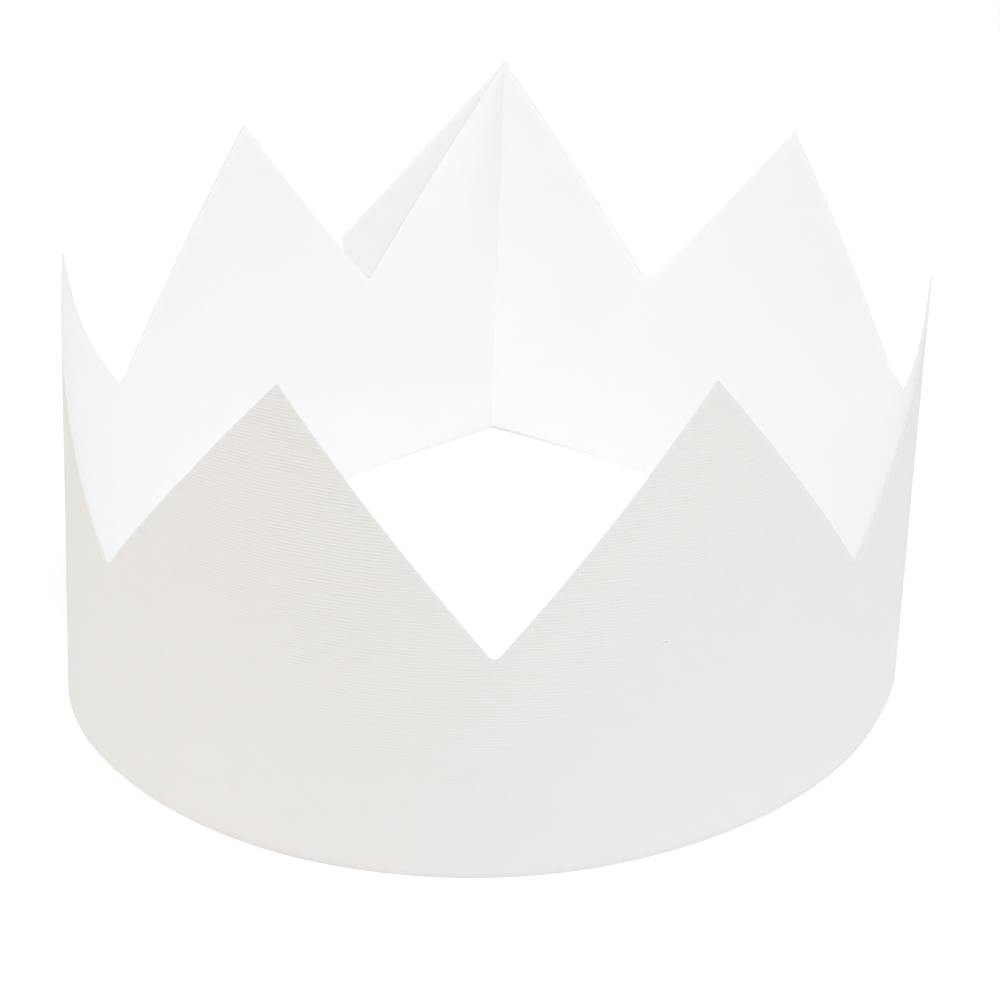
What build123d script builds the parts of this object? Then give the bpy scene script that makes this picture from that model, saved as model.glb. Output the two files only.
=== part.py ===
from build123d import *
import os

# Paper crown: one long strip of card with a row of pointed teeth, bent into a ring.
# It stands on its lower edge, its front faces -Y, and the origin is the middle of
# its own box on the floor. Lengths are in millimetres and angles in degrees.

# The card
card_thickness = 0.4

# The cut edge, measured on the flat strip from its straight lower edge
tooth_count = 7
tooth_height = 95
front_notch_floor = 45.3
back_notch_floor = 49.2
notch_round = 1.2
tip_width = 0.5

# The free end of the strip, past the seam: its length and the height where its cut ends
flap_length = 42.0
flap_end_height = 43.0

# The bends of the strip, seen from above. It leaves the seam at the back, runs down
# the left side, across the front and up the right side to the seam again.
seam_heading = 219.5
left_flank_radius = 345
left_flank_turn = 18.5
left_side_radius = 72
left_side_turn = 77
front_left_radius = 82
front_left_turn = 68.5
front_right_radius = 101
front_right_turn = 74.5
right_side_radius = 20
right_side_turn = 23

# The middle line of the card, with the seam at (0, 0)
seam = Vector(0, 0)
seam_direction = Vector(1, 0).rotate(Axis.Z, seam_heading)
with BuildLine() as middle_line:
    left_flank = JernArc(seam, seam_direction, left_flank_radius, left_flank_turn)
    left_side = JernArc(left_flank @ 1, left_flank % 1, left_side_radius, left_side_turn)
    front_left = JernArc(left_side @ 1, left_side % 1, front_left_radius, front_left_turn)
    front_right = JernArc(front_left @ 1, front_left % 1, front_right_radius, front_right_turn)
    right_side = JernArc(front_right @ 1, front_right % 1, right_side_radius, right_side_turn)
    # The last bend is the one that brings the strip back to the seam
    right_flank = TangentArc(right_side @ 1, seam, tangent=right_side % 1)
    ring = [left_flank, left_side, front_left, front_right, right_side, right_flank]
    ring_length = sum(run.length for run in ring)
    tooth_pitch = ring_length / tooth_count
    half_pitch = tooth_pitch / 2
    # Past the seam the strip runs straight on, as a free flap
    flap = Line(seam, seam + (right_flank % 1) * flap_length)
strip = ring + [flap]

# The card seen from above, and the plane that puts the middle of its box at the origin
with BuildSketch() as footprint:
    for run in strip:
        trace(run, line_width=card_thickness)
middle = footprint.sketch.bounding_box().center()
floor = Plane(origin=(-middle.X, -middle.Y, 0))

# The cutters that make the teeth. Each reaches past the tips and above the card, and
# far enough through the card on both sides to follow it where it bends away.
cut_spare = 3.0
cut_ceiling = tooth_height + 3 * cut_spare
cut_outward = tooth_pitch / 10
cut_inward = tooth_pitch / 3
side_points = 4


def on_strip(distance):
    """Point and direction of the middle line, at a distance along it from the seam."""
    if distance < 0:
        return seam + seam_direction * distance, seam_direction
    for run in strip:
        if distance <= run.length or run is flap:
            return run @ (distance / run.length), run % (distance / run.length)
        distance -= run.length


def cut_plane(station):
    """Plane that faces the card from outside at a station, with its y up the card."""
    point, along = on_strip(station)
    outward = along.cross(Vector(0, 0, 1))
    return Plane(floor.from_local_coords(point) + outward * cut_outward, along, outward)


def cut_side(station, notch_floor, way):
    """Points up one side of a notch: a straight cut on the flat strip, bent with it."""
    middle_point, along = on_strip(station)
    rise = (tooth_height - notch_floor) / (half_pitch - tip_width / 2)
    points = []
    for number in range(1, side_points + 1):
        reach = (half_pitch + cut_spare) * number / side_points
        point = on_strip(station + way * reach)[0]
        points.append(((point - middle_point).dot(along), notch_floor + rise * reach))
    return points


with BuildPart() as crown_band:
    with BuildSketch(floor):
        add(footprint.sketch)
    extrude(amount=tooth_height)

    # A notch between each two tips, deeper at the front than at the back
    for number in range(tooth_count):
        station = (number + 0.5) * tooth_pitch
        is_front = abs(number - (tooth_count - 1) / 2) <= 1
        notch_floor = front_notch_floor if is_front else back_notch_floor
        left_cut = cut_side(station, notch_floor, -1)
        right_cut = cut_side(station, notch_floor, 1)
        with BuildSketch(cut_plane(station)) as notch:
            with BuildLine():
                Line((0, notch_floor), right_cut[0])
                Spline(right_cut)
                Line(right_cut[-1], (right_cut[-1][0], cut_ceiling))
                Line((right_cut[-1][0], cut_ceiling), (left_cut[-1][0], cut_ceiling))
                Line((left_cut[-1][0], cut_ceiling), left_cut[-1])
                Spline(left_cut)
                Line(left_cut[0], (0, notch_floor))
            make_face()
            fillet(notch.vertices().sort_by(Axis.Y)[0], notch_round)
        extrude(amount=-(cut_outward + cut_inward), mode=Mode.SUBTRACT)

    # The flap keeps its own side of the back tooth, cut straight down to the strip's end
    flap_slope = (tooth_height - flap_end_height) / (flap_length - tip_width / 2)
    flap_top = tip_width / 2 - flap_length
    with BuildSketch(cut_plane(ring_length + flap_length)):
        with BuildLine():
            Polyline(
                (cut_spare, flap_end_height - flap_slope * cut_spare),
                (cut_spare, cut_ceiling),
                (flap_top, cut_ceiling),
                (flap_top, tooth_height),
                close=True,
            )
        make_face()
    extrude(amount=-(cut_outward + card_thickness), mode=Mode.SUBTRACT)

crown_band.part.label = "crown_band"
os.makedirs("parts", exist_ok=True)
export_step(crown_band.part, "parts/crown_band.step")

print("ring", round(ring_length, 1), "pitch", round(tooth_pitch, 2), "flap", round(flap.length, 1))
print("last bend", round(right_flank.radius, 1), "seam at", floor.from_local_coords(seam))
print(crown_band.part.bounding_box(), "volume", round(crown_band.part.volume))
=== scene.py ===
# %% [markdown]
# # A crown of white card
# This lesson dresses a paper crown: one long strip of card with seven points cut into
# it, bent into a ring and closed at the back. The frame holds the crown as a plain
# solid at its real size. Here it gets a finely divided sheet of card in its place,
# with the pressed linen texture of art card and softly cut edges. Blender counts in
# metres, and a card's sizes read better in millimetres, so mm is named first.

# %% Load the frame
from math import asin, atan, cos, exp, pi, radians, sin

import bmesh
import bpy
from mathutils import Matrix, Vector


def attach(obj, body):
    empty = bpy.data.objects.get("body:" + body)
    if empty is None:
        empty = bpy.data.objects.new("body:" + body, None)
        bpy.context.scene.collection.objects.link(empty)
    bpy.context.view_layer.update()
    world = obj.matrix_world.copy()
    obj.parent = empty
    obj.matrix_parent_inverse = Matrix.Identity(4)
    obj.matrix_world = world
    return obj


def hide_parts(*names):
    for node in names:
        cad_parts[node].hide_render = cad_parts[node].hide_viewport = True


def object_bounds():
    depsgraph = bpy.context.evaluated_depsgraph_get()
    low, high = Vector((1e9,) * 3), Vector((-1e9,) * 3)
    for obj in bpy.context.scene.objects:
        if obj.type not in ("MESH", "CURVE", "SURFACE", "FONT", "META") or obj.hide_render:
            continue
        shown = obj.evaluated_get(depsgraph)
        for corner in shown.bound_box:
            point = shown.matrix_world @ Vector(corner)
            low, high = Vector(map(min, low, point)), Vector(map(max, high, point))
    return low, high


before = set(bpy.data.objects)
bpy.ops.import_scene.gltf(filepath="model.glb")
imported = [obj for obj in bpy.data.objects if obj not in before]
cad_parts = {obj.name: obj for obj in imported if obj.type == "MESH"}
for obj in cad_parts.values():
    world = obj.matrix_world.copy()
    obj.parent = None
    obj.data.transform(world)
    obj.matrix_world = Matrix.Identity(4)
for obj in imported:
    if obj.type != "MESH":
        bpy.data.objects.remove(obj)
cad_low, cad_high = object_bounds()
mm = 0.001
print("the crown is", [round(side / mm, 1) for side in cad_high - cad_low], "mm")

# %% [markdown]
# ## Where the strip runs
# Seen from above, a strip of card that is bent by hand is nowhere quite round. It
# springs open on long soft curves and turns more tightly in between. So the route is
# a chain of arcs, each one tangent to the last. That is how card bends, and an arc
# needs only a radius and an angle. The last arc is worked out: it is the one that
# leads back to the seam.

# %% The bends of the ring
seam_heading = radians(219.5)
left_flank = (345 * mm, radians(18.5))
left_side = (72 * mm, radians(77))
front_left = (82 * mm, radians(68.5))
front_right = (101 * mm, radians(74.5))
right_side = (20 * mm, radians(23))


def facing(heading):
    """A step of length one in a direction, seen from above."""
    return Vector((cos(heading), sin(heading)))


def inward(heading):
    """The direction to the left of a heading, which is the inside of the ring."""
    return Vector((-sin(heading), cos(heading)))


def along_arc(start, heading, radius, angle):
    """Where a left-turning arc leads, and the heading there."""
    centre = start + radius * inward(heading)
    return centre - radius * inward(heading + angle), heading + angle


# %% Close the ring
route = []
point, heading = Vector((0, 0)), seam_heading
for radius, angle in (left_flank, left_side, front_left, front_right, right_side):
    route.append((point, heading, radius, angle))
    point, heading = along_arc(point, heading, radius, angle)
way_home = -point
half_turn = asin(way_home.dot(inward(heading)) / way_home.length)
closing_radius = way_home.length / (2 * sin(half_turn))
route.append((point, heading, closing_radius, 2 * half_turn))

ring_length = sum(radius * angle for _, _, radius, angle in route)
tooth_count = 7
half_pitch = ring_length / tooth_count / 2
print("ring", round(ring_length / mm, 1), "mm, closing bend", round(closing_radius / mm, 1), "mm")

# %% [markdown]
# ## A point on the strip
# Every point of the card has a place on the flat strip: how far along it is, and how
# high. One function turns the distance along into a place on the bent strip. Past the
# seam it runs straight on, because there the end of the strip is a free flap. The
# route starts at the seam, but the crown's origin is the middle of its box, so the
# route is then measured from above and shifted to the middle of the frame's box.

# %% Follow the strip
def on_strip(distance):
    """The middle line of the card at a distance from the seam: its point and heading."""
    if distance < 0:
        return facing(seam_heading) * distance, seam_heading
    for start, start_heading, radius, angle in route:
        if distance <= radius * angle:
            return along_arc(start, start_heading, radius, distance / radius)
        distance -= radius * angle
    flap_heading = route[-1][1] + route[-1][3]
    return facing(flap_heading) * distance, flap_heading


# %% Shift the route to the middle of the box
card_thickness = 0.4 * mm
flap_length = 42 * mm
strip_length = ring_length + flap_length
samples = 2000
plan = []
for number in range(samples + 1):
    point, heading = on_strip(strip_length * number / samples)
    for side in (-1, 1):
        plan.append(point + side * card_thickness / 2 * inward(heading))
plan_low = Vector((min(spot.x for spot in plan), min(spot.y for spot in plan)))
plan_high = Vector((max(spot.x for spot in plan), max(spot.y for spot in plan)))
shift = ((cad_low + cad_high) / 2).to_2d() - (plan_low + plan_high) / 2
print("the seam stands at", [round(value / mm, 2) for value in shift], "mm")

# %% [markdown]
# ## The lean of the sides
# The sides lean in a little as they rise. The card is pulled into its ring by hand, so
# its two narrow sides close up more at the points than at the edge it stands on. Each
# lean is a smooth bell along the strip, which leaves no kink where it begins.

# %% Lean the sides in
left_side_middle = (3.84 * half_pitch, radians(1.45))
right_side_middle = (10.3 * half_pitch, radians(1.23))
lean_spread = 0.6 * half_pitch


def inward_lean(distance):
    """Slope with which the card leans to the inside of the ring, at a distance."""
    slope = 0.0
    for middle, angle in (left_side_middle, right_side_middle):
        slope += angle * exp(-((distance - middle) / lean_spread) ** 2)
    return slope


# %% [markdown]
# ## The zigzag of the points
# The points are cut with a knife along a pencilled zigzag, so they are alike but not
# the same: a tip is a millimetre off here, a notch goes a little deeper there. Each
# corner of the zigzag is kept as how far it slid along the strip and how high it is.
# Between two corners the cut is straight. A knife lifts at a tip and card crushes a
# little in a notch, so both corners are slightly round. A boolean cut could make the
# zigzag too, but worked out like this every face can follow it.

# %% The corners of the zigzag
tip_round = 0.35 * mm
flap_end_height = 43 * mm
# For each tooth from the seam on: its tip's slide and height, then the slide, height
# and rounding of the notch after it, all in millimetres. The frame's box is as high as
# the card, so no tip stands higher than its top.
teeth = [
    ("back", 0.0, 93.8, 0.1, 48.8, 1.2),
    ("back left", -1.1, 94.9, -0.1, 48.2, 2.2),
    ("left", 0.0, 92.4, -1.7, 44.7, 1.2),
    ("front left", 1.1, 94.3, 0.3, 44.8, 1.2),
    ("front right", -1.2, 95.0, 1.1, 46.3, 1.2),
    ("right", 0.0, 90.6, -0.9, 47.1, 8.0),
    ("back right", 0.5, 95.0, -0.8, 48.4, 2.5),
]
corners = []
for number, (name, tip_slide, tip_height, slide, height, rounding) in enumerate(teeth):
    tip_at = 2 * number * half_pitch + tip_slide * mm
    tip_top = min(tip_height * mm, cad_high.z)
    notch_at = (2 * number + 1) * half_pitch + slide * mm
    corners.append((tip_at, tip_top, tip_round))
    corners.append((notch_at, height * mm, rounding * mm))
    print(name, "tip at", round(tip_at / mm, 1), "mm and", round(tip_top / mm, 1), "mm high")
corners.append((ring_length, corners[0][1], tip_round))
corners.append((strip_length, flap_end_height, 0))
print(len(corners), "corners from", round(corners[0][0], 4), "to", round(corners[-1][0], 4), "m")


# %% Round a corner
def corner_round(away, slope, rounding):
    """How far a round corner stands off the sharp one, at a distance to its side."""
    lean = atan(slope)
    if not rounding or away >= rounding * sin(lean):
        return 0.0
    return rounding / cos(lean) - (rounding ** 2 - away ** 2) ** 0.5 - slope * away


def cut_height(distance, leg):
    """Height of the cut edge over a distance along the strip, on one leg of the zigzag."""
    start, end = corners[leg], corners[leg + 1]
    slope = abs(end[1] - start[1]) / (end[0] - start[0])
    height = start[1] + (end[1] - start[1]) * (distance - start[0]) / (end[0] - start[0])
    tip, notch = (start, end) if start[1] > end[1] else (end, start)
    height -= corner_round(abs(distance - tip[0]), slope, tip[2])
    return height + corner_round(abs(distance - notch[0]), slope, notch[2])


# %% [markdown]
# ## The sheet
# The flat strip starts as one grid. Its columns are gathered towards the tips and the
# notches, where the round corners need them, and every column is then shortened to
# the cut above it. That keeps clean rows of faces that follow the card, which a cut
# through a grid would not. The place on the flat strip is stored as a UV map, in
# metres, so that the texture later follows the bends as it does on real card.

# %% Lay out the flat strip
columns_per_leg = 26
rows = 44
legs = len(corners) - 1
columns = columns_per_leg * legs
sheet = bmesh.new()
bmesh.ops.create_grid(sheet, x_segments=columns, y_segments=rows, size=0.5)
strip_place = {}
for vert in sheet.verts:
    column = round((vert.co.x + 0.5) * columns)
    row = round((vert.co.y + 0.5) * rows)
    leg = min(column // columns_per_leg, legs - 1)
    share = column / columns_per_leg - leg
    gathered = share ** 2 * (3 - 2 * share)
    start, end = corners[leg][0], corners[leg + 1][0]
    distance = start + (end - start) * gathered
    strip_place[vert] = (distance, cut_height(distance, leg) * row / rows)
print(len(sheet.verts), "points on the flat strip")

# %% Keep the flat strip as a UV map
strip_map = sheet.loops.layers.uv.new("strip")
for face in sheet.faces:
    for loop in face.loops:
        loop[strip_map].uv = strip_place[loop.vert]
print("the map", strip_map.name, "covers", len(sheet.faces), "faces")

# %% [markdown]
# ## Bend the strip
# The real strip is curled by hand and closed at the back. A Curve modifier could bend
# the sheet too, but here every vertex is moved to its place by the route, the lean and
# the lifts, so that distances along the lower edge stay those of the flat strip.

# %% Bend the strip into its ring
# The cut end at the seam stops on the face of the card that it meets
seam_gap = 0.08 * mm
# Where the lower edge stands a little off the table, how much and how far along: on
# both sides of the ring, and at the seam, where the overlap lifts it
lifts = [(200 * mm, 1.25 * mm, 28 * mm), (388 * mm, 0.8 * mm, 14 * mm),
         (ring_length, 0.8 * mm, 14 * mm)]
lifted_below = 40 * mm
for vert, (distance, height) in strip_place.items():
    point, heading = on_strip(max(distance, seam_gap))
    point += inward_lean(distance) * height * inward(heading)
    lift = sum(most * exp(-((distance - at) / spread) ** 2) for at, most, spread in lifts)
    lift *= max(0, 1 - height / lifted_below)
    vert.co = (point + shift).to_3d() + Vector((0, 0, height + lift))
lowest = min(vert.co.z for vert in sheet.verts)
print("bent, with its lowest point", round(lowest / mm, 3), "mm off the table")

# %% Turn the faces outwards
bmesh.ops.recalc_face_normals(sheet, faces=sheet.faces)
front_most = min(sheet.faces, key=lambda face: face.calc_center_median().y)
front_most.normal_update()
if front_most.normal.y > 0:
    bmesh.ops.reverse_faces(sheet, faces=sheet.faces)
print("the front faces", [round(value, 2) for value in front_most.normal])

# %% Make the sheet an object
card_mesh = bpy.data.meshes.new("crown_card")
sheet.to_mesh(card_mesh)
sheet.free()
card = bpy.data.objects.new("crown_card", card_mesh)
bpy.context.scene.collection.objects.link(card)
for polygon in card_mesh.polygons:
    polygon.use_smooth = True
print("bent sheet", [round(side / mm, 1) for side in card.dimensions], "mm")

# %% [markdown]
# ## The thickness of the card
# Card has a pressed face, a plainer back, and a cut edge between them. Solidify grows
# the thickness to both sides of the middle line, and gives the rim and the back a
# finish of their own. A very small bevel then takes the sharpness off the cut.

# %% Thickness and softened cuts
solid = card.modifiers.new("thickness", "SOLIDIFY")
solid.thickness = card_thickness
solid.offset = 0
solid.use_even_offset = True
solid.material_offset = 1
solid.material_offset_rim = 2
soften = card.modifiers.new("softened cuts", "BEVEL")
soften.width = 0.06 * mm
soften.segments = 2
soften.limit_method = "ANGLE"
soften.angle_limit = radians(50)
soften.harden_normals = False
soften.use_clamp_overlap = True
print("card", round(card_thickness / mm, 2), "mm, cuts softened", round(soften.width / mm, 2), "mm")

# %% [markdown]
# ## A finish that follows the card
# The pattern of real card is pressed in before the strip is bent, so it follows every
# bend. All finishes of the crown therefore read the strip's own UV map, which counts
# metres along the strip and up it, and not the place in the room.

# %% A material that reads the strip
def new_material(name):
    """A material with an empty node tree, its shader and the strip's UV map."""
    material = bpy.data.materials.new(name)
    material.use_nodes = True
    tree = material.node_tree
    tree.nodes.clear()
    shader = tree.nodes.new("ShaderNodeBsdfPrincipled")
    output = tree.nodes.new("ShaderNodeOutputMaterial")
    tree.links.new(shader.outputs["BSDF"], output.inputs["Surface"])
    place = tree.nodes.new("ShaderNodeUVMap")
    place.uv_map = "strip"
    return material, tree, shader, place.outputs["UV"]


# %% Sums, ramps and mixes of nodes
def maths(tree, operation, first, second):
    """A math node; each value is a number or another node's output."""
    node = tree.nodes.new("ShaderNodeMath")
    node.operation = operation
    for socket, value in zip(node.inputs, (first, second)):
        if isinstance(value, (int, float)):
            socket.default_value = value
        else:
            tree.links.new(value, socket)
    return node.outputs["Value"]


def ramp(tree, value, start, end, low=0.0, high=1.0):
    """Low until the start, high from the end on, and even in between."""
    node = tree.nodes.new("ShaderNodeMapRange")
    node.inputs["From Min"].default_value = start
    node.inputs["From Max"].default_value = end
    node.inputs["To Min"].default_value = low
    node.inputs["To Max"].default_value = high
    tree.links.new(value, node.inputs["Value"])
    return node.outputs["Result"]


def mixed(tree, fac, first, second):
    """A colour that goes from the first to the second; each is a colour or an output."""
    node = tree.nodes.new("ShaderNodeMixRGB")
    tree.links.new(fac, node.inputs["Fac"])
    for socket, value in ((node.inputs["Color1"], first), (node.inputs["Color2"], second)):
        if isinstance(value, bpy.types.NodeSocket):
            tree.links.new(value, socket)
        else:
            socket.default_value = value
    return node.outputs["Color"]


def raise_relief(tree, shader, relief, depth):
    """Let a relief stand out of the surface: where it is one, by the depth."""
    bump = tree.nodes.new("ShaderNodeBump")
    bump.inputs["Strength"].default_value = 1.0
    bump.inputs["Distance"].default_value = depth
    tree.links.new(relief, bump.inputs["Height"])
    tree.links.new(bump.outputs["Normal"], shader.inputs["Normal"])


# %% Threads and grain
# A wave texture at a scale of one repeats each two pi divided by this
wave_factor = 20


def threads(tree, place, direction, spacing, wobble):
    """Parallel threads across a direction of the strip, one for each spacing."""
    wave = tree.nodes.new("ShaderNodeTexWave")
    wave.wave_type = "BANDS"
    wave.bands_direction = direction
    wave.inputs["Scale"].default_value = 2 * pi / (wave_factor * spacing)
    wave.inputs["Distortion"].default_value = wobble
    wave.inputs["Detail"].default_value = 2.0
    wave.inputs["Detail Scale"].default_value = 0.35
    tree.links.new(place, wave.inputs["Vector"])
    return wave.outputs["Fac"]


def noise(tree, place, feature, stretch=(1, 1, 1), detail=2.0):
    """Soft noise with features of one size, stretched along the strip where asked."""
    mapping = tree.nodes.new("ShaderNodeMapping")
    mapping.inputs["Scale"].default_value = stretch
    tree.links.new(place, mapping.inputs["Vector"])
    texture = tree.nodes.new("ShaderNodeTexNoise")
    texture.inputs["Scale"].default_value = 1 / feature
    texture.inputs["Detail"].default_value = detail
    tree.links.new(mapping.outputs["Vector"], texture.inputs["Vector"])
    return texture.outputs["Fac"]


# %% [markdown]
# ## The linen pattern
# Art card is pressed between linen-patterned rollers. Fine ribs run along the strip,
# not quite even and fading in and out, with streaks beside them, faint threads across
# them and the grain of the pulp over all. They are only a few hundredths of a
# millimetre deep, so they are a bump and not geometry.

# %% The pressed pattern
rib_spacing = 0.63 * mm
rib_wobble = 3.5
thread_spacing = 0.62 * mm
thread_wobble = 3.0
# The ribs break off in patches of this size, which are about three times as long as high
patch_size = 1.2 * mm
patch_stretch = (0.3, 1, 1)
patch_ends = (0.25, 0.75)
# The streaks are twenty times as long as high
streak_size = 0.36 * mm
streak_stretch = (0.05, 1, 1)
# How much each layer adds, where the ribs add one
streak_share = 0.9
thread_share = 0.08
grain_share = 0.3


def linen_pattern(tree, place, grain):
    """The pattern on the rollers: broken ribs with streaks, threads and grain."""
    patches = noise(tree, place, patch_size, stretch=patch_stretch)
    ribs = threads(tree, place, "Y", rib_spacing, rib_wobble)
    pattern = maths(tree, "MULTIPLY", ribs, ramp(tree, patches, *patch_ends))
    streaks = noise(tree, place, streak_size, stretch=streak_stretch)
    across = threads(tree, place, "X", thread_spacing, thread_wobble)
    for layer, share in ((streaks, streak_share), (across, thread_share), (grain, grain_share)):
        pattern = maths(tree, "ADD", pattern, maths(tree, "MULTIPLY", layer, share))
    return pattern


print("one rib each", round(rib_spacing / mm, 2), "mm of height")

# %% [markdown]
# ## How hard the rollers pressed
# On the real card the pattern is strong in one place and nearly gone in another. Here
# it is deepest on the front, left of the middle, and on the points more than below
# them. Three ramps on the flat strip, multiplied, say how much of the depth is left.

# %% The pressure of the rollers
# Along the strip the pressure grows over the first stretch and fades over the second
growing = (150 * mm, 250 * mm)
fading = (265 * mm, 385 * mm)
# It also grows from just below the lower edge to this height
rising = (-2 * mm, 72 * mm)
least_pressure = 0.03


def pressure(tree, along, height):
    """Share of the full depth that is pressed in at a place on the strip."""
    grown = ramp(tree, along, *growing)
    not_faded = ramp(tree, along, fading[1], fading[0])
    pressed = maths(tree, "MULTIPLY", grown, not_faded)
    pressed = maths(tree, "MULTIPLY", pressed, ramp(tree, height, *rising))
    pressed = maths(tree, "MULTIPLY", pressed, 1 - least_pressure)
    return maths(tree, "ADD", pressed, least_pressure)


# %% [markdown]
# ## Painted shade on the points
# The card is painted a touch greyer towards its points than below them, some points more
# than others: painted shade, where less light from the floor reaches the card. The shade
# is a second colour that is mixed in with the height. The face and the back each have it
# up to a place of their own along the strip.

# %% Where the points get painted shade
shaded_heights = (15 * mm, 90 * mm)
shade_end = 20 * mm
# One point, the back right one, gets about half as much painted shade, on its own
shaded_tip = 12 * half_pitch
around_tip = (20 * mm, 50 * mm)
tip_share = 0.55


def painted_shade(tree, along, height, shaded_until):
    """Share of the painted shade: up to one place on the strip, and round the back right tip."""
    from_tip = maths(tree, "ABSOLUTE", maths(tree, "SUBTRACT", along, shaded_tip), 0)
    at_tip = ramp(tree, from_tip, around_tip[1], around_tip[0])
    at_tip = maths(tree, "MULTIPLY", at_tip, tip_share)
    before_end = ramp(tree, along, shaded_until, shaded_until - shade_end)
    reached = maths(tree, "MAXIMUM", at_tip, before_end)
    return maths(tree, "MULTIPLY", ramp(tree, height, *shaded_heights), reached)


# %% A dark fibre of the pulp
# It is quite dark up to the first distance from its middle and gone at the second
fibre_size = (0.14 * mm, 0.3 * mm)
fibre_grey = (0.62, 0.61, 0.59, 1)


def with_fibre(tree, place, paint, fibre_place):
    """The same paint with a dark fibre at one place on the strip."""
    away = tree.nodes.new("ShaderNodeVectorMath")
    away.operation = "DISTANCE"
    away.inputs[1].default_value = (*fibre_place, 0)
    tree.links.new(place, away.inputs[0])
    fibre = ramp(tree, away.outputs["Value"], fibre_size[1], fibre_size[0])
    return mixed(tree, fibre, paint, fibre_grey)


# %% [markdown]
# ## The two faces of the card
# The face is pressed deeply and the back only faintly. The back is much whiter than
# the face: partly the card's own two sides, partly painted shade, as the outside of
# the ring lies in shade. Both are dull, with a roughness that varies with the grain,
# so one function makes both.

# %% Linen card
grain_size = 0.25 * mm
dullness = (0.72, 0.86)
sheen = 0.25


def linen(name, colour, depth, shade_factor, shaded_until, fibre_place=None):
    """Linen card pressed to a depth, with painted shade towards its points up to a place."""
    material, tree, shader, place = new_material(name)
    split = tree.nodes.new("ShaderNodeSeparateXYZ")
    tree.links.new(place, split.inputs["Vector"])
    along, height = split.outputs["X"], split.outputs["Y"]
    grain = noise(tree, place, grain_size)
    pattern = linen_pattern(tree, place, grain)
    pressed = maths(tree, "MULTIPLY", pattern, pressure(tree, along, height))
    raise_relief(tree, shader, pressed, depth)
    shaded_colour = [channel * share for channel, share in zip(colour, shade_factor)] + [1]
    paint = mixed(tree, painted_shade(tree, along, height, shaded_until), colour, shaded_colour)
    if fibre_place:
        paint = with_fibre(tree, place, paint, fibre_place)
    tree.links.new(paint, shader.inputs["Base Color"])
    tree.links.new(ramp(tree, grain, 0, 1, *dullness), shader.inputs["Roughness"])
    shader.inputs["Specular IOR Level"].default_value = sheen
    return material


# %% The face and the back
# The face's grey is partly the card's own and partly painted shade for the outside of the ring
face_white_and_painted_shade = (0.777, 0.772, 0.759, 1)
face_depth = 0.073 * mm
# Painted shade: how much darker the face is painted towards its points
face_shade_factor = (0.965, 0.96, 0.955)
# All of the face's points get painted shade, so its painted shade ends well past the strip
face_shaded_until = 2 * strip_length
# One dark fibre shows on the face, on the front right
face_fibre = (312.4 * mm, 45.5 * mm)
back_white = (0.964, 0.96, 0.955, 1)
back_depth = 0.015 * mm
# Painted shade: how much darker the back is painted towards its points
back_shade_factor = (0.95, 0.948, 0.94)
# The back gets painted shade on the first two points, left of the seam
back_shaded_until = 135 * mm
card_mesh.materials.append(
    linen("linen_face", face_white_and_painted_shade, face_depth, face_shade_factor, face_shaded_until, face_fibre))
card_mesh.materials.append(
    linen("plain_back", back_white, back_depth, back_shade_factor, back_shaded_until))
print("pressed", round(face_depth / mm, 3), "mm deep, the back", round(back_depth / mm, 3), "mm")

# %% [markdown]
# ## The finish of the cut edge
# Where a knife has cut it, card shows its core: a little greyer than its faces, without
# the pressed pattern and quite dull. A fine noise stands in for the fibres, both as a
# bump and as the mix of two greys.

# %% The cut edge
fibre_length = 0.12 * mm
fibre_depth = 0.02 * mm
core_light = (0.80, 0.795, 0.785, 1)
core_dark = (0.74, 0.735, 0.725, 1)
cut_edge, tree, shader, place = new_material("cut_edge")
fibres = noise(tree, place, fibre_length, detail=3.0)
raise_relief(tree, shader, fibres, fibre_depth)
tree.links.new(mixed(tree, fibres, core_light, core_dark), shader.inputs["Base Color"])
shader.inputs["Roughness"].default_value = 0.9
shader.inputs["Specular IOR Level"].default_value = 0.2
card_mesh.materials.append(cut_edge)
print("finishes:", [material.name for material in card_mesh.materials])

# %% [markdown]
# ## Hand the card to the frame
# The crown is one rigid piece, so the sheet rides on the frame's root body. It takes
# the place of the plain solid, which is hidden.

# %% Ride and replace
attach(card, "root")
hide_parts("crown_band")
print(card.name, "stands for crown_band")

# %% [markdown]
# ## Floor and light
# The crown stands on a plain pale floor. A white object on white shows only by its
# shading, so the light comes from many large soft lamps all round, each weak and a
# little tinted, and the pale floor throws some of it up again. Seen by the camera the
# floor is near white beside the crown, where it keeps the shadow, and fades to plain
# white further out. The backdrop is plain white too. Both are so only to the camera,
# by way of the light path, so they add no light to the card.

# %% Rays that are seen
def is_seen(tree):
    """One for rays that come straight from the camera or by way of gloss or glass."""
    path = tree.nodes.new("ShaderNodeLightPath")
    seen = maths(tree, "MAXIMUM", path.outputs["Is Camera Ray"], path.outputs["Is Glossy Ray"])
    return maths(tree, "MAXIMUM", seen, path.outputs["Is Transmission Ray"])


def mixed_shader(tree, fac, first, second):
    """A shader that goes from the first to the second."""
    node = tree.nodes.new("ShaderNodeMixShader")
    tree.links.new(fac, node.inputs["Fac"])
    tree.links.new(first, node.inputs[1])
    tree.links.new(second, node.inputs[2])
    return node.outputs["Shader"]


# %% The floor
floor_side = 6.0
floor_bmesh = bmesh.new()
bmesh.ops.create_grid(floor_bmesh, x_segments=1, y_segments=1, size=floor_side / 2)
floor_mesh = bpy.data.meshes.new("floor")
floor_bmesh.to_mesh(floor_mesh)
floor_bmesh.free()
floor = bpy.data.objects.new("floor", floor_mesh)
bpy.context.scene.collection.objects.link(floor)
print("the floor is", floor_side, "m on a side")

# %% A floor that is white to the camera and keeps its shadow
pale = (0.94, 0.94, 0.94, 1)
seen_pale = (0.98, 0.98, 0.98, 1)
seen_glow = 0.14
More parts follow.
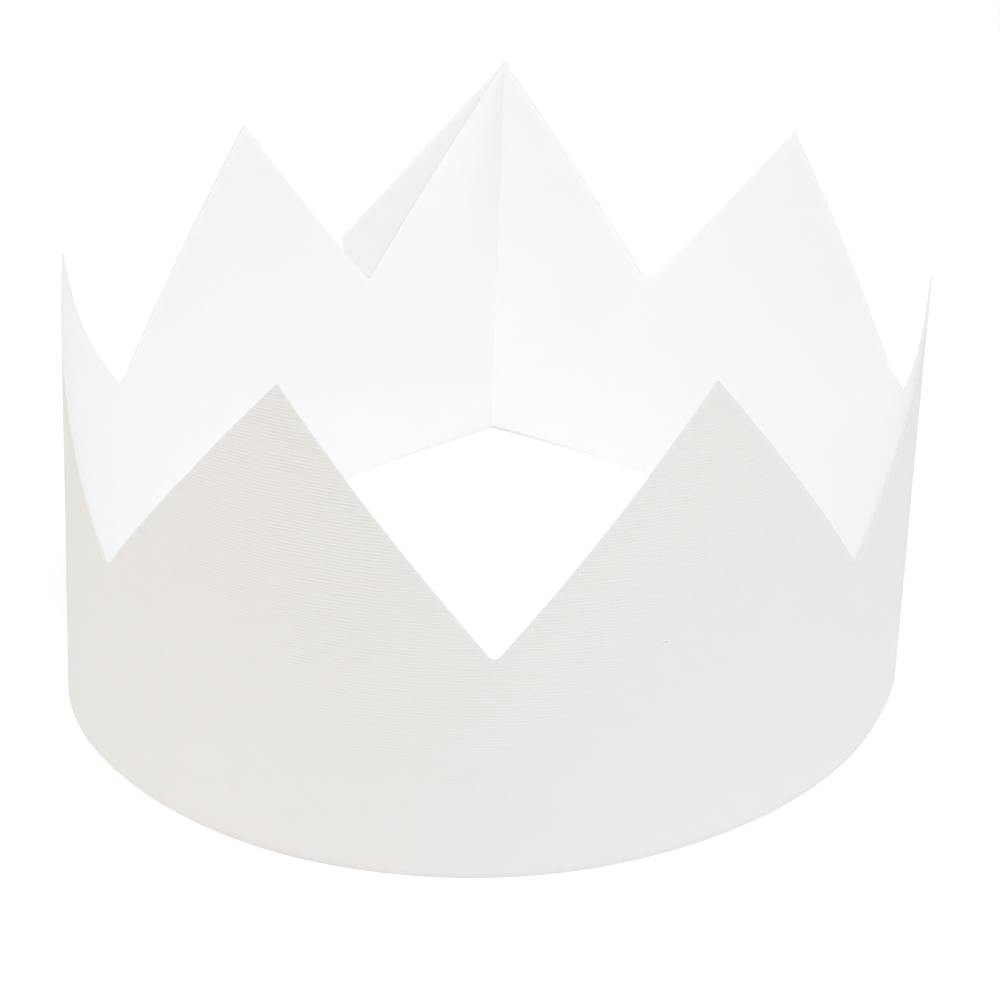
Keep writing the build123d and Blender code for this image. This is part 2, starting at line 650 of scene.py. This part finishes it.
# The floor that is seen fades into plain white between these distances from its middle
fade_out = (0.13, 0.4)
floor_paint = bpy.data.materials.new("floor_white")
floor_paint.use_nodes = True
tree = floor_paint.node_tree
tree.nodes.clear()
plain = tree.nodes.new("ShaderNodeBsdfDiffuse")
plain.inputs["Color"].default_value = pale
shown = tree.nodes.new("ShaderNodeBsdfDiffuse")
shown.inputs["Color"].default_value = seen_pale
glow = tree.nodes.new("ShaderNodeEmission")
glow.inputs["Strength"].default_value = seen_glow
bright = tree.nodes.new("ShaderNodeAddShader")
tree.links.new(shown.outputs["BSDF"], bright.inputs[0])
tree.links.new(glow.outputs["Emission"], bright.inputs[1])

# %% Fade the floor out
floor_place = tree.nodes.new("ShaderNodeTexCoord")
from_crown = tree.nodes.new("ShaderNodeVectorMath")
from_crown.operation = "LENGTH"
tree.links.new(floor_place.outputs["Object"], from_crown.inputs[0])
white = tree.nodes.new("ShaderNodeEmission")
far = ramp(tree, from_crown.outputs["Value"], *fade_out)
faded = mixed_shader(tree, far, bright.outputs["Shader"], white.outputs["Emission"])
output = tree.nodes.new("ShaderNodeOutputMaterial")
surface = mixed_shader(tree, is_seen(tree), plain.outputs["BSDF"], faded)
tree.links.new(surface, output.inputs["Surface"])
floor_mesh.materials.append(floor_paint)

# %% The room's light
room_colour = (1.0, 0.99, 0.71, 1)
room_strength = 0.41
world = bpy.data.worlds.new("studio")
bpy.context.scene.world = world
world.use_nodes = True
tree = world.node_tree
tree.nodes.clear()
room = tree.nodes.new("ShaderNodeBackground")
room.inputs["Color"].default_value = room_colour
room.inputs["Strength"].default_value = room_strength
backdrop = tree.nodes.new("ShaderNodeBackground")
backdrop.inputs["Color"].default_value = (1, 1, 1, 1)
backdrop.inputs["Strength"].default_value = 1.0
output = tree.nodes.new("ShaderNodeOutputWorld")
inner, outer = room.outputs["Background"], backdrop.outputs["Background"]
tree.links.new(mixed_shader(tree, is_seen(tree), inner, outer), output.inputs["Surface"])
print("room light", room_strength)


# %% The lamps
def softbox(name, place, aim, side, power, colour):
    """A square area lamp that hangs at a place and faces a point."""
    lamp = bpy.data.lights.new(name, "AREA")
    lamp.shape = "SQUARE"
    lamp.size = side
    lamp.energy = power
    lamp.color = colour
    holder = bpy.data.objects.new(name, lamp)
    holder.matrix_world = Matrix.Translation(place) @ (
        Vector(aim) - Vector(place)).to_track_quat("-Z", "Y").to_matrix().to_4x4()
    bpy.context.scene.collection.objects.link(holder)


crown_middle = (0, 0, 0.05)
# Each lamp's name, place and side in metres, power in watts and colour
lamps = [
    ("in front and above", (0.0, -0.9, 1.5), 1.0, 14.5, (0.79, 0.85, 1.0)),
    ("front left", (-1.0, -1.0, 0.9), 1.0, 3.6, (1.0, 0.79, 0.86)),
    ("front right", (1.0, -1.0, 0.9), 1.0, 2.9, (1.0, 0.79, 0.93)),
    ("left wall", (-1.3, -0.2, 0.8), 1.0, 1.2, (0.98, 0.82, 1.0)),
    ("right wall", (1.3, -0.2, 0.8), 1.0, 3.35, (0.9, 0.97, 1.0)),
    ("low on the left", (-1.4, 0.1, 0.35), 0.6, 1.7, (1.0, 0.86, 0.88)),
    ("low on the right", (1.4, -0.1, 0.35), 0.6, 1.9, (0.86, 0.88, 1.0)),
    ("back left", (-1.2, 0.5, 0.8), 1.0, 3.45, (0.62, 0.82, 1.0)),
    ("back right", (1.0, 0.8, 1.0), 1.0, 3.55, (0.7, 0.65, 1.0)),
]
for name, place, side, power, colour in lamps:
    softbox(name, place, crown_middle, side, power, colour)
print(len(lamps), "lamps,", round(sum(lamp[3] for lamp in lamps), 1), "W in all")

# %% [markdown]
# ## The camera
# The photograph was taken from in front and above with a long lens, and the camera
# was held a little tilted. The camera turns down to the crown first and rolls second,
# so that the roll is about its own line of sight.

# %% Camera
# The camera looks at this place on the table, counted from the seam
seam_to_aim = Vector((2.92, -40.06)) * mm
look_at = (shift + seam_to_aim).to_3d()
camera_distance = 625.1 * mm
camera_elevation = radians(26.16)
camera_roll = radians(2.20)
camera_data = bpy.data.cameras.new("camera")
camera_data.sensor_width = 36
camera_data.lens = 95.9
camera = bpy.data.objects.new("camera", camera_data)
away = Vector((0, -cos(camera_elevation), sin(camera_elevation)))
camera.matrix_world = (
    Matrix.Translation(look_at + camera_distance * away)
    @ Matrix.Rotation(pi / 2 - camera_elevation, 4, "X")
    @ Matrix.Rotation(camera_roll, 4, "Z"))
bpy.context.scene.collection.objects.link(camera)
bpy.context.scene.camera = camera
bpy.context.scene.view_settings.view_transform = "Standard"
print("camera at", [round(value, 3) for value in camera.matrix_world.translation], "m")
